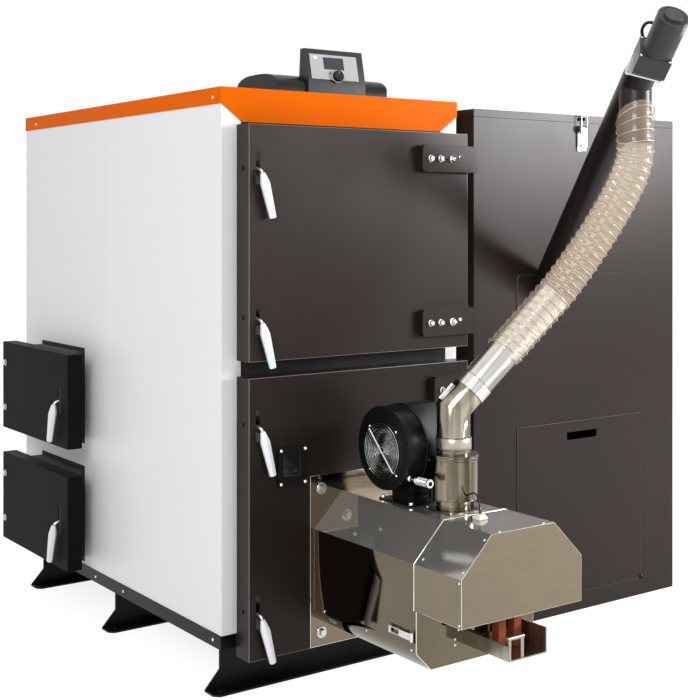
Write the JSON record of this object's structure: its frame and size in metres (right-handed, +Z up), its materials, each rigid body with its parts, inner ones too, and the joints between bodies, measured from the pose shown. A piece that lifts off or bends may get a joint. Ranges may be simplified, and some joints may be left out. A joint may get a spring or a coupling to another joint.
{
  "type": "solid fuel boiler",
  "caption": "Solid fuel boiler with hinged fuel and burner doors, cleaning doors, a stainless pellet burner with fan, a ribbed feed hose, an inclined auger and a pellet hopper.",
  "frame": {"origin": "on the floor under the middle of the white casing's footprint, on the middle foot's floor flange", "axes": "+Z up, -Y out of the front doors, +X towards the pellet hopper"},
  "size_m": [1.784, 2.0988, 1.6805],
  "materials": {
    "white_enamel": "smooth powder coat",
    "orange_enamel": "smooth powder coat",
    "charcoal_paint": "fine matt powder coat",
    "black_paint": "satin paint",
    "side_door_paint": "fine matt powder coat",
    "boiler_steel": "rough mill steel",
    "stainless": "bright polished",
    "zinc": "zinc plated",
    "handle_set": "white grip on a black rod",
    "lining_board": "fibre board",
    "wool": "mineral wool",
    "black_plastic": "moulded",
    "grey_plastic": "moulded",
    "light_plastic": "moulded",
    "screen_glass": "dark display",
    "hose_plastic": "clear film with copper coloured ribs",
    "cable": "black sheath",
    "blower_black": "satin black",
    "fan_wheel": "bare",
    "motor_black": "satin black"
  },
  "bodies": {
    "boiler": {"floor_beams": "black_paint", "base_sills": "black_paint", "jacket_shell": "boiler_steel", "firebox": "boiler_steel", "front_frame": "boiler_steel", "exchanger_plates": "boiler_steel", "insulation_wrap": "wool", "left_front_panel": "white_enamel", "left_rear_panel": "white_enamel", "far_panels": "white_enamel", "top_cover": "orange_enamel", "casing_screws": "zinc", "flue_outlet": "boiler_steel", "water_sockets": "zinc", "hinge_brackets": "charcoal_paint", "controller_base": "black_plastic", "controller_housing": "grey_plastic", "controller_face": "light_plastic", "controller_screen": "screen_glass", "hopper_body": "charcoal_paint", "hopper_cover_plate": "charcoal_paint", "auger_tube": "charcoal_paint", "auger_gearmotor": "motor_black", "motor_lead": "cable"},
    "knob": {"controller_knob": "black_plastic"},
    "auger_screw": {"auger_screw": "zinc"},
    "hopper_lid": {"hopper_lid": "charcoal_paint"},
    "hopper_door": {"hopper_door": "charcoal_paint"},
    "lid_lever": {"lid_lever": "zinc"},
    "lid_bail": {"lid_bail": "zinc"},
    "upper_door": {"upper_door_shell": "charcoal_paint", "upper_door_lining": "lining_board", "upper_hinge_leaves": "charcoal_paint"},
    "upper_top_handle": {"upper_top_handle": "handle_set"},
    "upper_bottom_handle": {"upper_bottom_handle": "handle_set"},
    "lower_door": {"lower_door_shell": "charcoal_paint", "lower_door_lining": "lining_board", "lower_hinge_leaves": "charcoal_paint", "sight_port": "charcoal_paint", "burner_flange": "stainless", "burner_casing": "stainless", "burner_hood": "stainless", "burner_bolts": "zinc", "combustion_tube": "boiler_steel", "igniter_unit": "stainless", "burner_leads": "cable", "blower_scroll": "blower_black", "blower_guard": "zinc", "blower_motor": "blower_black", "feed_inlet": "stainless", "feed_elbow": "stainless", "feed_hose": "hose_plastic"},
    "lower_top_handle": {"lower_top_handle": "handle_set"},
    "lower_bottom_handle": {"lower_bottom_handle": "handle_set"},
    "burner_latch": {"burner_latch": "zinc"},
    "blower_impeller": {"blower_impeller": "fan_wheel"},
    "upper_side_door": {"upper_side_door": "side_door_paint"},
    "lower_side_door": {"lower_side_door": "side_door_paint"},
    "upper_side_handle": {"upper_side_handle": "handle_set"},
    "lower_side_handle": {"lower_side_handle": "handle_set"}
  },
  "joints": [
    {"name": "upper_door_swing", "type": "hinge", "parent": "boiler", "child": "upper_door", "pos_m": [0.36, -0.6916, 1.1177], "axis": [0, 0, 1], "range_deg": [0, 45]},
    {"name": "upper_top_handle_lift", "type": "hinge", "parent": "upper_door", "child": "upper_top_handle", "pos_m": [-0.322, -0.679, 1.2992], "axis": [-1, 0, 0], "range_deg": [0, 40]},
    {"name": "upper_bottom_handle_lift", "type": "hinge", "parent": "upper_door", "child": "upper_bottom_handle", "pos_m": [-0.322, -0.679, 0.9362], "axis": [-1, 0, 0], "range_deg": [0, 40]},
    {"name": "lower_door_swing", "type": "hinge", "parent": "boiler", "child": "lower_door", "pos_m": [0.36, -0.6916, 0.4492], "axis": [0, 0, 1], "range_deg": [0, 90], "deforming": ["feed_hose"]},
    {"name": "lower_top_handle_lift", "type": "hinge", "parent": "lower_door", "child": "lower_top_handle", "pos_m": [-0.322, -0.679, 0.6757], "axis": [-1, 0, 0], "range_deg": [0, 40]},
    {"name": "lower_bottom_handle_lift", "type": "hinge", "parent": "lower_door", "child": "lower_bottom_handle", "pos_m": [-0.322, -0.679, 0.2227], "axis": [-1, 0, 0], "range_deg": [0, 40]},
    {"name": "burner_latch_swing", "type": "hinge", "parent": "lower_door", "child": "burner_latch", "pos_m": [-0.1665, -1.1098, 0.241], "axis": [0, 0, 1], "range_deg": [0, 100]},
    {"name": "blower_spin", "type": "hinge", "parent": "lower_door", "child": "blower_impeller", "pos_m": [-0.038, -0.908, 0.621], "axis": [1, 0, 0], "continuous": true},
    {"name": "upper_side_door_swing", "type": "hinge", "parent": "boiler", "child": "upper_side_door", "pos_m": [-0.44, 0.588, 0.652], "axis": [0, 0, -1], "range_deg": [0, 110]},
    {"name": "upper_side_handle_lift", "type": "hinge", "parent": "upper_side_door", "child": "upper_side_handle", "pos_m": [-0.4407, 0.134, 0.652], "axis": [0, 1, 0], "range_deg": [0, 40]},
    {"name": "lower_side_door_swing", "type": "hinge", "parent": "boiler", "child": "lower_side_door", "pos_m": [-0.44, 0.588, 0.304], "axis": [0, 0, -1], "range_deg": [0, 110]},
    {"name": "lower_side_handle_lift", "type": "hinge", "parent": "lower_side_door", "child": "lower_side_handle", "pos_m": [-0.4407, 0.134, 0.304], "axis": [0, 1, 0], "range_deg": [0, 40]},
    {"name": "knob_turn", "type": "hinge", "parent": "boiler", "child": "knob", "pos_m": [0, -0.58251, 1.54974], "axis": [0, -0.9781, 0.2079], "continuous": true},
    {"name": "auger_spin", "type": "hinge", "parent": "boiler", "child": "auger_screw", "pos_m": [0.481, -1.186, 1.507], "axis": [-0.2844, -0.6866, 0.6691], "continuous": true},
    {"name": "hopper_lid_lift", "type": "hinge", "parent": "boiler", "child": "hopper_lid", "pos_m": [0.863, 0.199, 1.463], "axis": [-1, 0, 0], "range_deg": [0, 80]},
    {"name": "hopper_door_tip", "type": "hinge", "parent": "boiler", "child": "hopper_door", "pos_m": [0.8701, -0.632, 0.054], "axis": [1, 0, 0], "range_deg": [0, 30]},
    {"name": "lid_lever_lift", "type": "hinge", "parent": "boiler", "child": "lid_lever", "pos_m": [0.87, -0.637, 1.446], "axis": [-1, 0, 0], "range_deg": [0, 90]},
    {"name": "lid_bail_swing", "type": "hinge", "parent": "lid_lever", "child": "lid_bail", "pos_m": [0.87, -0.6415, 1.436], "axis": [-1, 0, 0], "range_deg": [-90, 0]}
  ],
  "couplings": [
    {"joint": "lid_bail_swing", "follows": "lid_lever_lift", "ratio": -1}
  ]
}
